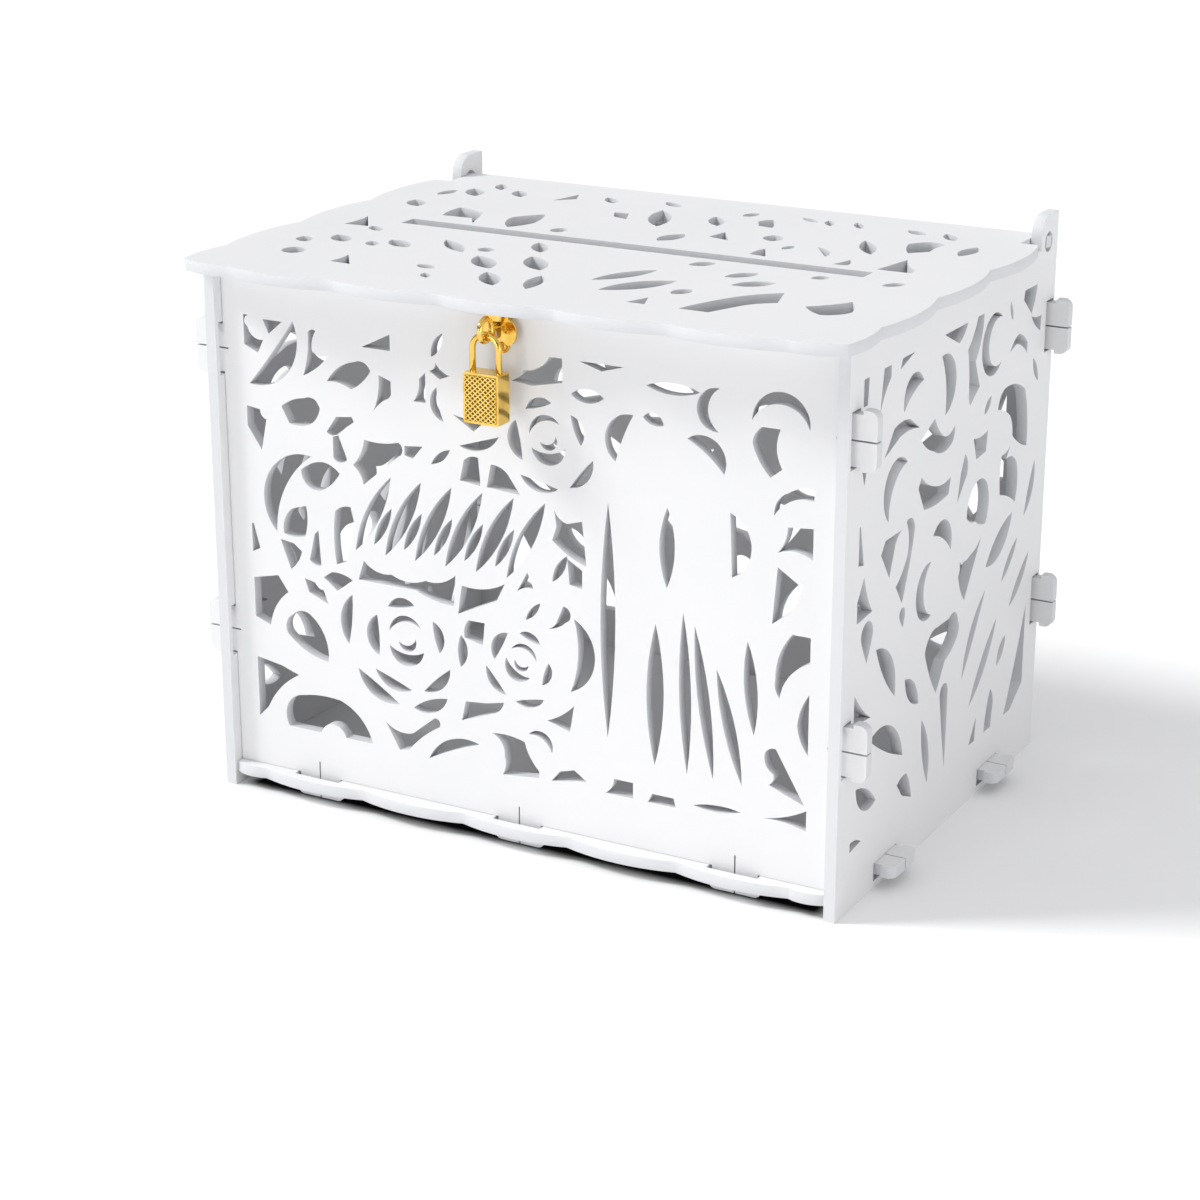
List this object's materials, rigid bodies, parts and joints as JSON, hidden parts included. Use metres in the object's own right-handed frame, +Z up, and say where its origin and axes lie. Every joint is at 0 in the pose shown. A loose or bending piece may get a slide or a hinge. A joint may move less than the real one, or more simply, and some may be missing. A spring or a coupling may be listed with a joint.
{
  "type": "wedding card box",
  "caption": "Free-standing pierced white card box with snap-tab panels, a turning slotted lid with scalloped edges, and a small padlock hanging on a front staple.",
  "frame": {"origin": "middle of the footprint's bounding box, on the surface the box stands on", "axes": "+X across the box to the right seen from the front, -Y out of the front, +Z up"},
  "size_m": [0.3188, 0.2366, 0.2515],
  "materials": {
    "board": "smooth satin foamed PVC board with cut edges",
    "gold": "polished gold plate",
    "steel": "plain spring steel, hidden inside"
  },
  "bodies": {
    "box": {"left_side_panel": "board", "right_side_panel": "board", "front_panel": "board", "back_panel": "board", "bottom_panel": "board", "staple_plate": "gold", "staple_screw": "gold", "staple_eye": "gold", "staple_washer": "gold", "staple_nut": "gold"},
    "lid": {"lid": "board", "lid_catch": "gold", "catch_screws": "gold"},
    "shackle": {"shackle": "gold"},
    "lock_body": {"padlock_core": "gold", "padlock_front_plate": "gold", "padlock_back_plate": "gold", "shackle_pin": "steel", "plug_pin": "steel", "shackle_spring": "steel"},
    "key_plug": {"key_plug": "gold"},
    "latch": {"latch": "steel"}
  },
  "joints": [
    {"name": "lid_turn", "type": "hinge", "parent": "box", "child": "lid", "pos_m": [0, 0.1073, 0.2395], "axis": [-1, 0, 0], "range_deg": [0, 180]},
    {"name": "padlock_swing", "type": "hinge", "parent": "box", "child": "shackle", "pos_m": [-0.005, -0.1107, 0.2267], "axis": [-1, 0, 0], "range_deg": [-12, 75]},
    {"name": "body_drop", "type": "slide", "parent": "shackle", "child": "lock_body", "axis": [0, 0, -1], "range_m": [0, 0.0056]},
    {"name": "key_turn", "type": "hinge", "parent": "lock_body", "child": "key_plug", "pos_m": [-0.005, -0.1107, 0.1905], "axis": [0, 0, 1], "range_deg": [0, 90]},
    {"name": "latch_slide", "type": "slide", "parent": "lock_body", "child": "latch", "axis": [1, 0, 0], "range_m": [0, 0.0015]}
  ],
  "couplings": [
    {"joint": "key_turn", "follows": "body_drop", "rad_per_m": 280.5},
    {"joint": "latch_slide", "follows": "body_drop", "ratio": 0.26786}
  ]
}
